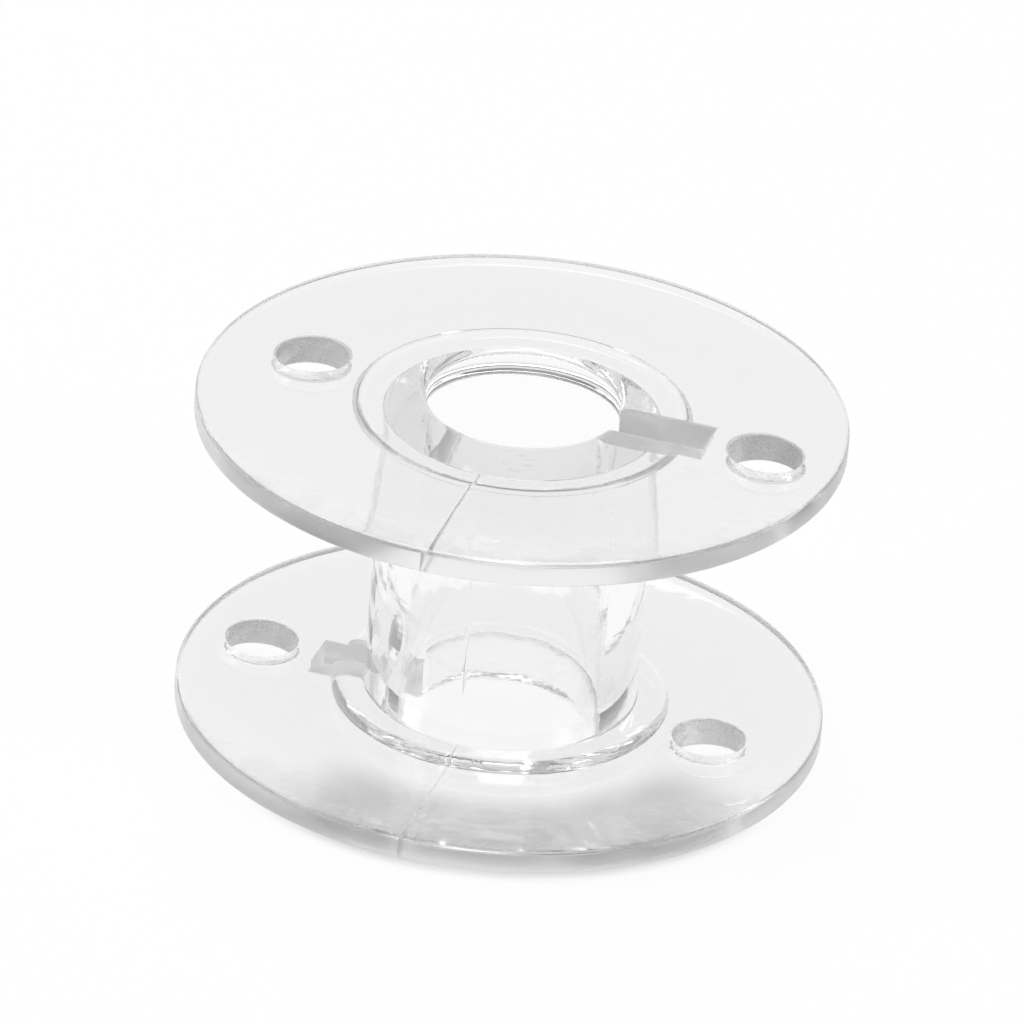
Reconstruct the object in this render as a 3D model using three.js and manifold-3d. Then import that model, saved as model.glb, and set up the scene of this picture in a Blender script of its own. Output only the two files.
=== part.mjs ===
// A sewing machine bobbin in clear plastic: two dished flanges on a hub tube.
// Millimetres, +Z along the bobbin's axis, origin at the centre of the lower end face.
// Both ends are alike: the upper flange is the lower one turned over about Y.

import * as THREE from 'three';
import { mergeVertices } from 'three/addons/utils/BufferGeometryUtils.js';
import Module from 'manifold-3d';

const wasm = await Module();
wasm.setup();

// Overall sizes
const overallHeight = 11.5; // from end face to end face
const flangeRadius = 10.25;
const hubRadius = 4.32; // the thread is wound on this
const boreRadius = 3.05; // slides on the winder's spindle
const leadInWidth = 0.4; // shallow rounding at each mouth of the bore
const leadInDepth = 0.12;

// Flange section
const rimThickness = 0.72;
const rimRounding = 0.12;
const hubSideThickness = 1.0; // just outside the collar
const dishRise = 0.3; // the end face stands out past the rim by this
const endFaceRadius = 5.7; // the end face is flat inside this

// Collar, a low step round the hub on each flange's inner face
const collarWidth = 1.03; // out from the hub
const collarHeight = 0.3;
const collarRounding = 0.5; // its top curves down over this width
const cornerRadius = 0.08; // where it meets the hub

// Thread holes, one each side of the bore
const threadHoleRadius = 1.15;
const nearHoleDistance = 6.95; // on the side away from the slot
const farHoleDistance = 7.93; // beyond the slot's end

// Winder slot, in each end face, cut through into the winding space
const slotWidth = 1.45;
const slotReach = 6.05; // from the axis to the slot's end
const slotOvercut = 0.1; // it runs this far past the collar, and past the corner above it

// Fit and fineness
const seatClearance = 0; // the flanges sit tight on the tube, with no gap
const cutterOvershoot = 1;
const roundSteps = 72;
const holeSteps = 24;
const collarSteps = 5;
const cornerSteps = 3;
const dishSteps = 4;
const rimSteps = 2;
const leadInSteps = 3;

const clearPlastic = {
  color: 0xf2f4f4,
  roughness: 0.08,
  metalness: 0,
  transparent: true,
  opacity: 0.35,
};

function toSolid(geometry) {
  geometry.deleteAttribute('normal');
  geometry.deleteAttribute('uv');
  const welded = mergeVertices(geometry, 1e-5);
  return new wasm.Manifold(new wasm.Mesh({
    numProp: 3,
    vertProperties: new Float32Array(welded.attributes.position.array),
    triVerts: new Uint32Array(welded.index.array),
  }));
}

function toGeometry(solid) {
  const { vertProperties, triVerts } = solid.getMesh();
  const geometry = new THREE.BufferGeometry();
  geometry.setAttribute('position', new THREE.BufferAttribute(vertProperties, 3));
  geometry.setIndex(new THREE.BufferAttribute(triVerts, 1));
  geometry.computeVertexNormals();
  return geometry;
}

// Turns a closed outline of (radius, height) points about Z.
function turned(outline) {
  const geometry = new THREE.LatheGeometry([...outline, outline[0]], roundSteps);
  geometry.rotateX(Math.PI / 2);
  return toSolid(geometry);
}

// Points on an arc, round or flattened, from one angle to another, both ends included.
function arc(centre, width, height, from, to, steps) {
  const points = [];
  for (let i = 0; i <= steps; i += 1) {
    const angle = from + ((to - from) * i) / steps;
    points.push(new THREE.Vector2(
      centre.x + width * Math.cos(angle),
      centre.y + height * Math.sin(angle),
    ));
  }
  return points;
}

// A face that is flat out to startRadius, then curves up by rise at endRadius.
function dishedFace(startRadius, endRadius, height, rise) {
  const points = [];
  for (let i = 0; i <= dishSteps; i += 1) {
    const share = i / dishSteps;
    points.push(new THREE.Vector2(
      startRadius + (endRadius - startRadius) * share,
      height + rise * share * share,
    ));
  }
  return points;
}

// Section of the lower flange, from the tube seat outwards and back over the collar.
function flangeOutline() {
  const seatRadius = hubRadius + seatClearance;
  const collarRadius = hubRadius + collarWidth;
  const collarTop = hubSideThickness + collarHeight;
  const faceEdge = flangeRadius - rimRounding;
  const innerRise = dishRise + rimThickness - hubSideThickness;
  const lowerRound = new THREE.Vector2(faceEdge, dishRise + rimRounding);
  const upperRound = new THREE.Vector2(faceEdge, dishRise + rimThickness - rimRounding);
  const collarRound = new THREE.Vector2(collarRadius - collarRounding, hubSideThickness);
  const corner = new THREE.Vector2(hubRadius + cornerRadius, collarTop + cornerRadius);
  return [
    new THREE.Vector2(seatRadius, 0),
    ...dishedFace(endFaceRadius, faceEdge, 0, dishRise),
    ...arc(lowerRound, rimRounding, rimRounding, -Math.PI / 2, 0, rimSteps).slice(1),
    ...arc(upperRound, rimRounding, rimRounding, 0, Math.PI / 2, rimSteps),
    ...dishedFace(collarRadius, faceEdge, hubSideThickness, innerRise).reverse().slice(1),
    ...arc(collarRound, collarRounding, collarHeight, 0, Math.PI / 2, collarSteps).slice(1),
    ...arc(corner, cornerRadius, cornerRadius, -Math.PI / 2, -Math.PI, cornerSteps),
  ];
}

function threadHoleCutter(x) {
  const depth = dishRise + rimThickness + hubSideThickness + 2 * cutterOvershoot;
  const geometry = new THREE.CylinderGeometry(threadHoleRadius, threadHoleRadius, depth, holeSteps);
  geometry.rotateX(Math.PI / 2);
  geometry.translate(x, 0, depth / 2 - cutterOvershoot);
  return toSolid(geometry);
}

// Cuts from the axis towards -X, up from the lower end face.
function slotCutter() {
  const slotDepth = hubSideThickness + collarHeight + slotOvercut;
  const height = slotDepth + cutterOvershoot;
  const geometry = new THREE.BoxGeometry(slotReach, slotWidth, height);
  geometry.translate(-slotReach / 2, 0, slotDepth - height / 2);
  return toSolid(geometry);
}

function flange() {
  const solid = turned(flangeOutline())
    .subtract(slotCutter())
    .subtract(threadHoleCutter(-farHoleDistance))
    .subtract(threadHoleCutter(nearHoleDistance));
  return toGeometry(solid);
}

// Section of the tube: the outer wall, then the bore with a rounded mouth at each end.
function tubeOutline() {
  const mouthRadius = boreRadius + leadInWidth;
  const lowerMouth = new THREE.Vector2(mouthRadius, leadInDepth);
  const upperMouth = new THREE.Vector2(mouthRadius, overallHeight - leadInDepth);
  return [
    new THREE.Vector2(hubRadius, 0),
    new THREE.Vector2(hubRadius, overallHeight),
    ...arc(upperMouth, leadInWidth, leadInDepth, Math.PI / 2, Math.PI, leadInSteps),
    ...arc(lowerMouth, leadInWidth, leadInDepth, Math.PI, Math.PI * 1.5, leadInSteps),
  ];
}

function hubTube() {
  const upperSlot = slotCutter().rotate([0, 180, 0]).translate([0, 0, overallHeight]);
  return toGeometry(turned(tubeOutline()).subtract(slotCutter()).subtract(upperSlot));
}

function piece(name, geometry) {
  const mesh = new THREE.Mesh(geometry, new THREE.MeshStandardMaterial(clearPlastic));
  mesh.name = name;
  return mesh;
}

const lowerFlange = piece('lower_flange', flange());

const tube = piece('hub_tube', hubTube());

const upperFlange = piece('upper_flange', flange());
upperFlange.rotation.y = Math.PI;
upperFlange.position.z = overallHeight;

const bobbin = new THREE.Group();
bobbin.add(lowerFlange, tube, upperFlange);

export default bobbin;
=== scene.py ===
"""An empty clear plastic sewing machine bobbin, standing on end on a white table.

The bobbin's sizes and the camera's place are in millimetres, and MM turns them into
metres. The sizes and distances of the table and the lamps are in metres.
"""

import math

import bmesh
import bpy
from mathutils import Matrix, Vector


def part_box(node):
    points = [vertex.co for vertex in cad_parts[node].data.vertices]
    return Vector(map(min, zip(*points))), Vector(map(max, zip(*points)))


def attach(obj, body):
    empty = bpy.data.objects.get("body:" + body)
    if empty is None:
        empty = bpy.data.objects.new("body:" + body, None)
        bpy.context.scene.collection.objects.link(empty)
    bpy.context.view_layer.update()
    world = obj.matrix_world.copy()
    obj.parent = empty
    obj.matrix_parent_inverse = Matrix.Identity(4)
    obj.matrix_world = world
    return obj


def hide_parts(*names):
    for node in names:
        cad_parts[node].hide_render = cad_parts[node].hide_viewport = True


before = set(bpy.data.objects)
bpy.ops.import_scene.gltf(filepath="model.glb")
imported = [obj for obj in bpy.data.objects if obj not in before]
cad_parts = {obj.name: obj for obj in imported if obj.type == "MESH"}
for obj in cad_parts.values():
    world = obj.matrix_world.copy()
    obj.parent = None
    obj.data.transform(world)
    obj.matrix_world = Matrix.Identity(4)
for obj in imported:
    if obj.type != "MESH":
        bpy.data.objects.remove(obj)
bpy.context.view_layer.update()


# ---------------------------------------------------------------- camera
# A long lens, a little above the bobbin and turned from its slots.
# It is rolled a little, so the bobbin leans to the right.

MM = 0.001
camera_turn = math.radians(15.5)
camera_height_angle = math.radians(28.712)
camera_roll = math.radians(-4.724)
camera_distance = 444.1
camera_aim = Vector((0.4448, 6.2428, 0.3))
lens_width = 36.0
lens_length = 493.66

turn = Matrix.Rotation(camera_turn, 3, "Z")
ahead = turn @ Vector((0, math.cos(camera_height_angle), -math.sin(camera_height_angle)))
level = turn @ Vector((1, 0, 0))
raised = level.cross(ahead)
right = level * math.cos(camera_roll) - raised * math.sin(camera_roll)
above = level * math.sin(camera_roll) + raised * math.cos(camera_roll)
eye = right * camera_aim.x + above * camera_aim.y - ahead * camera_distance
eye.z += camera_aim.z

camera_data = bpy.data.cameras.new("camera")
camera_data.lens = lens_length
camera_data.sensor_width = lens_width
camera_data.clip_start = 0.01
camera_data.clip_end = 20
camera = bpy.data.objects.new("camera", camera_data)
camera_axes = Matrix((right, above, -ahead)).transposed().to_4x4()
camera.matrix_world = Matrix.Translation(eye * MM) @ camera_axes
bpy.context.scene.collection.objects.link(camera)
bpy.context.scene.camera = camera


# ---------------------------------------------------------------- bobbin
# One clear plastic moulding: two dished flanges, each with a low collar, on a
# hollow hub. Its mould splits along the bore's axis. It stands for all three
# CAD pieces, because the real one has no joints between them.

tube_low, tube_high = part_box("hub_tube")
overall_height = (tube_high.z - tube_low.z) / MM
hub_radius = tube_high.x / MM
flange_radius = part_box("lower_flange")[1].x / MM

bore_radius = 3.05
lead_in_width = 0.4
lead_in_depth = 0.12
flange_thickness = 1.0
rim_thickness = 0.72
rim_rounding = 0.12
dish_rise = 0.3
end_face_radius = 5.7
collar_width = 1.03
collar_height = 0.3
collar_rounding = 0.5
corner_radius = 0.08
turning_steps = 288
mouth_steps = 10
end_face_steps = 30
rim_steps = 5
inner_face_steps = 24
collar_steps = 12
collar_top_steps = 4
corner_steps = 6

thread_hole_radius = 1.15
near_hole_distance = 6.95
far_hole_distance = 7.93
hole_edge_rounding = 0.1
hole_edge_steps = 5
hole_steps = 72

slot_width = 1.45
slot_reach = 6.05
slot_depth = 1.4
slot_edge_rounding = 0.08
slot_edge_steps = 4
cutter_overshoot = 1

parting_line_width = 0.07
front_flash_height = 0.022
back_flash_height = 0.004

sharp_edge = math.radians(35)

scratch_stretch = (250, 9000, 250)
scratch_noise_range = (0.66, 0.74)
scratch_depth = 0.02
haze_noise_range = (0.35, 0.8)
haze_strength = 0.6
rim_roughness = 0.3
rim_wear_start = 0.2
rim_wear_full = 0.05
bore_line_depth = 0.1
bore_lines_end = 0.15
bore_lines_full = 0.05
turned_line_stretch = (150, 150, 5000)
drawn_line_stretch = (4000, 4000, 60)


def arc(centre, width, height, start, end, steps):
    """Points on a round or flattened corner of a section, both ends included."""
    points = []
    for step in range(steps + 1):
        angle = math.radians(start + (end - start) * step / steps)
        points.append((centre[0] + width * math.cos(angle), centre[1] + height * math.sin(angle)))
    return points


def level_line(start, end, height, steps):
    """Points along a level line of a section, without its start."""
    return [(start + (end - start) * step / steps, height) for step in range(1, steps + 1)]


def bobbin_section():
    """The half section of the bobbin before its flanges are dished, as (radius, height)."""
    mouth = bore_radius + lead_in_width
    rim = flange_radius - rim_rounding
    collar = hub_radius + collar_width
    collar_top = flange_thickness + collar_height
    shoulder = collar - collar_rounding
    corner = hub_radius + corner_radius
    lower_half = [
        *arc((mouth, lead_in_depth), lead_in_width, lead_in_depth, 180, 270, mouth_steps),
        *level_line(mouth, rim, 0, end_face_steps),
        *arc((rim, rim_rounding), rim_rounding, rim_rounding, -90, 0, rim_steps)[1:],
        *arc((rim, flange_thickness - rim_rounding), rim_rounding, rim_rounding, 0, 90, rim_steps),
        *level_line(rim, collar, flange_thickness, inner_face_steps),
        *arc((shoulder, flange_thickness), collar_rounding, collar_height, 0, 90, collar_steps)[1:],
        *level_line(shoulder, corner, collar_top, collar_top_steps),
        *arc((corner, collar_top + corner_radius), corner_radius, corner_radius,
             270, 180, corner_steps)[1:],
    ]
    upper_half = [(radius, overall_height - height) for radius, height in reversed(lower_half)]
    return lower_half + upper_half


def turned(section, steps, centre=(0, 0, 0)):
    """Turns a closed section of (radius, height) points round an upright axis."""
    shape = bmesh.new()
    ring = [shape.verts.new((centre[0] + radius, centre[1], centre[2] + height))
            for radius, height in section]
    edges = [shape.edges.new(pair) for pair in zip(ring, ring[1:] + ring[:1])]
    bmesh.ops.spin(shape, geom=ring + edges, cent=centre, axis=(0, 0, 1),
                   angle=math.tau, steps=steps, use_merge=True)
    bmesh.ops.remove_doubles(shape, verts=shape.verts, dist=1e-5)
    bmesh.ops.recalc_face_normals(shape, faces=shape.faces)
    return shape


def thread_hole_cutter(x, low, high):
    """A plug that cuts a hole with rounded edges between two flat faces."""
    rounding = hole_edge_rounding
    wide = thread_hole_radius + rounding
    section = [
        (0, low - cutter_overshoot),
        (wide, low - cutter_overshoot),
        *arc((wide, low + rounding), rounding, rounding, 270, 180, hole_edge_steps),
        *arc((wide, high - rounding), rounding, rounding, 180, 90, hole_edge_steps),
        (wide, high + cutter_overshoot),
        (0, high + cutter_overshoot),
    ]
    return turned(section, hole_steps, (x, 0, 0))


def slot_cutter(side, end_face):
    """A box from the axis outwards, flared where it meets the end face."""
    inward = 1 if end_face == 0 else -1
    rounding = slot_edge_rounding
    levels = [
        (0, slot_depth),
        *arc((rounding, rounding), rounding, rounding, 180, 270, slot_edge_steps),
        (rounding, -cutter_overshoot),
    ]
    shape = bmesh.new()
    rings = []
    for flare, depth in levels:
        along = side * (slot_reach + flare)
        across = slot_width / 2 + flare
        height = end_face + inward * depth
        corners = ((0, -across), (along, -across), (along, across), (0, across))
        rings.append([shape.verts.new((x, y, height)) for x, y in corners])
    for deep, shallow in zip(rings, rings[1:]):
        for corner in range(4):
            shape.faces.new((deep[corner - 1], deep[corner], shallow[corner], shallow[corner - 1]))
    shape.faces.new(rings[0])
    shape.faces.new(rings[-1])
    bmesh.ops.recalc_face_normals(shape, faces=shape.faces)
    return shape


def as_object(name, shape, material):
    mesh = bpy.data.meshes.new(name)
    shape.to_mesh(mesh)
    shape.free()
    mesh.materials.append(material)
    thing = bpy.data.objects.new(name, mesh)
    bpy.context.scene.collection.objects.link(thing)
    return thing


def cut_away(body, cutters):
    """Cuts each cutter out of the body and throws the cutters away."""
    for cutter in cutters:
        cut = body.modifiers.new(cutter.name, "BOOLEAN")
        cut.operation = "DIFFERENCE"
        cut.solver = "MANIFOLD"
        cut.material_mode = "TRANSFER"
        cut.object = cutter
    depsgraph = bpy.context.evaluated_depsgraph_get()
    finished = bpy.data.meshes.new_from_object(body.evaluated_get(depsgraph))
    body.modifiers.clear()
    body.data = finished
    for cutter in cutters:
        bpy.data.objects.remove(cutter)


def add_node(tree, kind, inputs, **settings):
    """Adds a shader node. An input given as a socket is linked, and any other is set."""
    made = tree.nodes.new("ShaderNode" + kind)
    for setting, value in settings.items():
        setattr(made, setting, value)
    for place, value in inputs.items():
        if isinstance(value, bpy.types.NodeSocket):
            tree.links.new(value, made.inputs[place])
        else:
            made.inputs[place].default_value = value
    return made


def moulding_marks_group():
    """The soft ripple, haze and fine scratches that moulding and handling leave on the plastic."""
    marks = bpy.data.node_groups.new("moulding_marks", "ShaderNodeTree")
    for name, kind in {"Position": "Vector", "Ripple Scale": "Float",
                       "Clean Roughness": "Float", "Scuffed Roughness": "Float"}.items():
        marks.interface.new_socket(name, in_out="INPUT", socket_type="NodeSocket" + kind)
    for name in ("Roughness", "Height"):
        marks.interface.new_socket(name, in_out="OUTPUT", socket_type="NodeSocketFloat")
    given = marks.nodes.new("NodeGroupInput").outputs
    ripple = add_node(marks, "TexNoise", {
        "Vector": given["Position"], "Scale": given["Ripple Scale"], "Detail": 3})
    stretched = add_node(marks, "Mapping", {
        "Vector": given["Position"], "Rotation": (0.3, 0.2, 0.9), "Scale": scratch_stretch})
    scratches = add_node(marks, "TexNoise", {
        "Vector": stretched.outputs["Vector"], "Scale": 1, "Detail": 1})
    scratch = add_node(marks, "MapRange", {
        "Value": scratches.outputs["Fac"],
        "From Min": scratch_noise_range[0], "From Max": scratch_noise_range[1]})
    haze = add_node(marks, "MapRange", {
        "Value": ripple.outputs["Fac"],
        "From Min": haze_noise_range[0], "From Max": haze_noise_range[1], "To Max": haze_strength})
    scuffs = add_node(marks, "Math", {
        0: scratch.outputs["Result"], 1: haze.outputs["Result"]}, operation="MAXIMUM")
    roughness = add_node(marks, "MapRange", {
        "Value": scuffs.outputs["Value"],
        "To Min": given["Clean Roughness"], "To Max": given["Scuffed Roughness"]})
    cut_in = add_node(marks, "Math", {
        0: scratch.outputs["Result"], 1: scratch_depth}, operation="MULTIPLY")
    height = add_node(marks, "Math", {
        0: ripple.outputs["Fac"], 1: cut_in.outputs["Value"]}, operation="SUBTRACT")
    finished = marks.nodes.new("NodeGroupOutput").inputs
    marks.links.new(roughness.outputs["Result"], finished["Roughness"])
    marks.links.new(height.outputs["Value"], finished["Height"])
    return marks


moulding_marks = moulding_marks_group()


def moulded_plastic(name, clearness, tint, painted_glow, ripple_scale, ripple_depth, clean, scuffed):
    """See-through plastic. Its glow is painted light: a faint white emission that stands in for
    light scattered out of its faces.
    """
    plastic = bpy.data.materials.new(name)
    plastic.use_nodes = True
    tree = plastic.node_tree
    gloss = tree.nodes["Principled BSDF"]
    gloss.inputs["Base Color"].default_value = (tint, tint, tint, 1)
    gloss.inputs["IOR"].default_value = 1.5
    gloss.inputs["Transmission Weight"].default_value = clearness
    # Painted glow: the plastic gives off a little white light of its own.
    gloss.inputs["Emission Color"].default_value = (1, 1, 1, 1)
    gloss.inputs["Emission Strength"].default_value = painted_glow
    depth_tint = add_node(tree, "VolumeAbsorption", {
        "Color": (0.9, 0.9, 0.9, 1), "Density": 150})
    tree.links.new(depth_tint.outputs["Volume"], tree.nodes["Material Output"].inputs["Volume"])
    place = add_node(tree, "TexCoord", {}).outputs["Object"]
    marks = add_node(tree, "Group", {}, node_tree=moulding_marks)
    tree.links.new(place, marks.inputs["Position"])
    marks.inputs["Ripple Scale"].default_value = ripple_scale
    marks.inputs["Clean Roughness"].default_value = clean
    marks.inputs["Scuffed Roughness"].default_value = scuffed
    relief = add_node(tree, "Bump", {"Height": marks.outputs["Height"], "Distance": ripple_depth})
    tree.links.new(relief.outputs["Normal"], gloss.inputs["Normal"])
    tree.links.new(marks.outputs["Roughness"], gloss.inputs["Roughness"])
    return plastic


def add_rim_wear_and_bore_marks(plastic):
    """Dulls the rims, which rub in the bobbin case, and lines the bore as its core pin did."""
    tree = plastic.node_tree
    gloss = tree.nodes["Principled BSDF"]
    place = tree.nodes["Texture Coordinate"].outputs["Object"]
    marks = tree.nodes["Group"].outputs
    relief = tree.nodes["Bump"]
    outwards = add_node(tree, "VectorMath", {0: place, 1: (1, 1, 0)}, operation="MULTIPLY")
    radius = add_node(tree, "VectorMath", {
        0: outwards.outputs["Vector"]}, operation="LENGTH").outputs["Value"]
    rim_wear = add_node(tree, "MapRange", {
        "Value": radius,
        "From Min": (flange_radius - rim_wear_start) * MM,
        "From Max": (flange_radius - rim_wear_full) * MM,
        "To Max": rim_roughness})
    dulled = add_node(tree, "Math", {
        0: marks["Roughness"], 1: rim_wear.outputs["Result"]}, operation="MAXIMUM")
    tree.links.new(dulled.outputs["Value"], gloss.inputs["Roughness"])
    in_bore = add_node(tree, "MapRange", {
        "Value": radius,
        "From Min": (bore_radius + bore_lines_end) * MM,
        "From Max": (bore_radius + bore_lines_full) * MM})
    turned_lines = add_node(tree, "Mapping", {"Vector": place, "Scale": turned_line_stretch})
    drawn_lines = add_node(tree, "Mapping", {"Vector": place, "Scale": drawn_line_stretch})
    turned_marks = add_node(tree, "TexNoise", {
        "Vector": turned_lines.outputs["Vector"], "Scale": 1})
    drawn_marks = add_node(tree, "TexNoise", {
        "Vector": drawn_lines.outputs["Vector"], "Scale": 1})
    lines = add_node(tree, "Math", {
        0: turned_marks.outputs["Fac"], 1: drawn_marks.outputs["Fac"]}, operation="ADD")
    bore_lines = add_node(tree, "Math", {
        0: lines.outputs["Value"], 1: in_bore.outputs["Result"]}, operation="MULTIPLY")
    height = add_node(tree, "Math", {
        0: bore_lines.outputs["Value"], 1: bore_line_depth, 2: marks["Height"]},
        operation="MULTIPLY_ADD")
    tree.links.new(height.outputs["Value"], relief.inputs["Height"])


# Each plastic has a painted glow, brightest on the frosted hole and slot walls.
clear_plastic = moulded_plastic(
    "clear_plastic", clearness=1, tint=0.97, painted_glow=0.015,
    ripple_scale=400, ripple_depth=2e-5, clean=0.02, scuffed=0.06)
add_rim_wear_and_bore_marks(clear_plastic)
hole_wall = moulded_plastic(
    "hole_wall", clearness=0.95, tint=0.95, painted_glow=0.1,
    ripple_scale=2500, ripple_depth=6e-5, clean=0.2, scuffed=0.45)
slot_wall = moulded_plastic(
    "slot_wall", clearness=0.6, tint=0.85, painted_glow=0.12,
    ripple_scale=1500, ripple_depth=6e-5, clean=0.3, scuffed=0.5)

bobbin = as_object("clear_bobbin", turned(bobbin_section(), turning_steps), clear_plastic)
lower_faces = (0, flange_thickness)
upper_faces = (overall_height - flange_thickness, overall_height)
cut_away(bobbin, [
    as_object("hole_1", thread_hole_cutter(-far_hole_distance, *lower_faces), hole_wall),
    as_object("hole_2", thread_hole_cutter(near_hole_distance, *lower_faces), hole_wall),
    as_object("hole_3", thread_hole_cutter(far_hole_distance, *upper_faces), hole_wall),
    as_object("hole_4", thread_hole_cutter(-near_hole_distance, *upper_faces), hole_wall),
    as_object("slot_1", slot_cutter(-1, 0), slot_wall),
    as_object("slot_2", slot_cutter(1, overall_height), slot_wall),
])


def add_parting_line(shape):
    """Raises the thin line of flash where the two halves of the mould met."""
    half = parting_line_width / 2
    for offset in (-half, 0, half):
        bmesh.ops.bisect_plane(shape, geom=shape.verts[:] + shape.edges[:] + shape.faces[:],
                               plane_co=(offset, 0, 0), plane_no=(1, 0, 0), dist=1e-5)
    shape.normal_update()
    for point in shape.verts:
        radius = math.hypot(point.co.x, point.co.y)
        from_end = min(point.co.z, overall_height - point.co.z)
        outside = radius > bore_radius + lead_in_width and from_end > rim_rounding / 2
        if abs(point.co.x) < half / 2 and outside:
            flash_height = front_flash_height if point.co.y < 0 else back_flash_height
            point.co += point.normal * flash_height


def dish_flanges(shape):
    """Thins each flange towards its rim and bends its rim in towards the winding space."""
    for point in shape.verts:
        radius = math.hypot(point.co.x, point.co.y)
        lower = point.co.z < overall_height / 2
        from_end = point.co.z if lower else overall_height - point.co.z
        bend = (max(0, radius - end_face_radius) / (flange_radius - end_face_radius)) ** 2
        thinning = 1 - (1 - rim_thickness / flange_thickness) * bend
        from_end = from_end * thinning + dish_rise * bend
        point.co.z = from_end if lower else overall_height - from_end


shape = bmesh.new()
shape.from_mesh(bobbin.data)
bmesh.ops.remove_doubles(shape, verts=shape.verts, dist=1e-5)
add_parting_line(shape)
dish_flanges(shape)
bmesh.ops.scale(shape, verts=shape.verts, vec=(MM, MM, MM))
bmesh.ops.recalc_face_normals(shape, faces=shape.faces)
for face in shape.faces:
    face.smooth = True
for edge in shape.edges:
    edge.smooth = edge.calc_face_angle(0) < sharp_edge
shape.to_mesh(bobbin.data)
shape.free()

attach(bobbin, "root")
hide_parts("lower_flange", "hub_tube", "upper_flange")


# ---------------------------------------------------------------- table and light
# A white light table under the bobbin, and a room with soft lamps round it.
# The bobbin's end face touches the table at a few points, so there is air under it.

air_gap = 0.03 * MM
table_radius = 4
back_lamp_azimuth = 112

# The painted shade's reach is in millimetres from the bore's axis. Its sides and middle
# are cosines of the turn from the back lamp.
shade_inner = 5.6
shade_inner_fade = 1.8
shade_outer = 10.3
shade_outer_fade = 0.9
shade_side = -0.5
shade_middle = -0.8
shade_depth = 0.42
patch_scale = 250
patch_range = (0.35, 0.6)
patch_least = 0.8

white_table = bpy.data.materials.new("white_table")
white_table.use_nodes = True
tree = white_table.node_tree
paint = tree.nodes["Principled BSDF"]
paint.inputs["Base Color"].default_value = (0.15, 0.15, 0.15, 1)
paint.inputs["Emission Strength"].default_value = 0.92
paint.inputs["Roughness"].default_value = 0.9
paint.inputs["Specular IOR Level"].default_value = 0

# A painted shadow of the bobbin: the table glows less under its lower flange, away from the back
# lamp.
place = add_node(tree, "TexCoord", {}).outputs["Object"]
facing = add_node(tree, "Mapping", {
    "Vector": place, "Rotation": (0, 0, math.radians(90 - back_lamp_azimuth))}).outputs["Vector"]
split = add_node(tree, "SeparateXYZ", {"Vector": facing})
radius = add_node(tree, "VectorMath", {0: facing}, operation="LENGTH").outputs["Value"]
towards_lamp = add_node(tree, "Math", {
    0: split.outputs["Y"], 1: radius}, operation="DIVIDE").outputs["Value"]
shade_patches = add_node(tree, "TexNoise", {
    "Vector": facing, "Scale": patch_scale, "Detail": 2}).outputs["Fac"]
fades = [
    (radius, shade_inner * MM, (shade_inner + shade_inner_fade) * MM, 0, "SMOOTHSTEP"),
    (radius, shade_outer * MM, (shade_outer - shade_outer_fade) * MM, 0, "SMOOTHSTEP"),
    (towards_lamp, shade_side, shade_middle, 0, "SMOOTHSTEP"),
    (shade_patches, patch_range[0], patch_range[1], patch_least, "LINEAR"),
]
shade = 1
for value, start, end, least, curve in fades:
    fade = add_node(tree, "MapRange", {
        "Value": value, "From Min": start, "From Max": end, "To Min": least},
        interpolation_type=curve)
    shade = add_node(tree, "Math", {
        0: shade, 1: fade.outputs["Result"]}, operation="MULTIPLY").outputs["Value"]
lit = add_node(tree, "MapRange", {"Value": shade, "To Min": 1, "To Max": 1 - shade_depth})
tree.links.new(lit.outputs["Result"], paint.inputs["Emission Color"])

table_shape = bmesh.new()
bmesh.ops.create_circle(table_shape, cap_ends=True, segments=96, radius=table_radius)
bmesh.ops.translate(table_shape, verts=table_shape.verts, vec=(0, 0, -air_gap))
table = as_object("white_table", table_shape, white_table)

room = bpy.data.worlds.new("room")
bpy.context.scene.world = room
room.use_nodes = True
tree = room.node_tree
direction = add_node(tree, "TexCoord", {}).outputs["Generated"]
split = add_node(tree, "SeparateXYZ", {"Vector": direction})
height_tones = add_node(tree, "ValToRGB", {"Fac": split.outputs["Z"]})
tree.links.new(height_tones.outputs["Color"], tree.nodes["Background"].inputs["Color"])
room_tones = {0.0: 0.8, 0.2: 0.8, 0.35: 0.5, 0.5: 0.35, 0.65: 0.15, 0.9: 0.12, 1.0: 0.5}
ramp = height_tones.color_ramp
ramp.elements.remove(ramp.elements[1])
ramp.elements[0].position = 0
for height, tone in room_tones.items():
    step = ramp.elements[0] if height == 0 else ramp.elements.new(height)
    step.color = (tone, tone, tone, 1)


def soft_lamp(name, azimuth, elevation, distance, width, height, watts):
    """A square lamp that faces the bobbin."""
    lamp = bpy.data.lights.new(name, "AREA")
    lamp.shape = "RECTANGLE"
    lamp.size = width
    lamp.size_y = height
    lamp.energy = watts
    holder = bpy.data.objects.new(name, lamp)
    turned_by = math.radians(azimuth)
    raised_by = math.radians(elevation)
    holder.location = Vector((math.cos(turned_by) * math.cos(raised_by),
                              math.sin(turned_by) * math.cos(raised_by),
                              math.sin(raised_by))) * distance
    holder.rotation_euler = (-holder.location).to_track_quat("-Z", "Y").to_euler()
    bpy.context.scene.collection.objects.link(holder)


soft_lamp("back_lamp", back_lamp_azimuth, 57, 0.6, 0.2, 0.2, 0.35)
soft_lamp("left_lamp", 200, 35, 0.5, 0.12, 0.4, 0.5)
soft_lamp("right_lamp", -10, 25, 0.5, 0.12, 0.4, 0.3)

scene = bpy.context.scene
scene.view_settings.view_transform = "Standard"
scene.cycles.max_bounces = 24
scene.cycles.transmission_bounces = 24
scene.cycles.glossy_bounces = 16
scene.cycles.transparent_max_bounces = 24
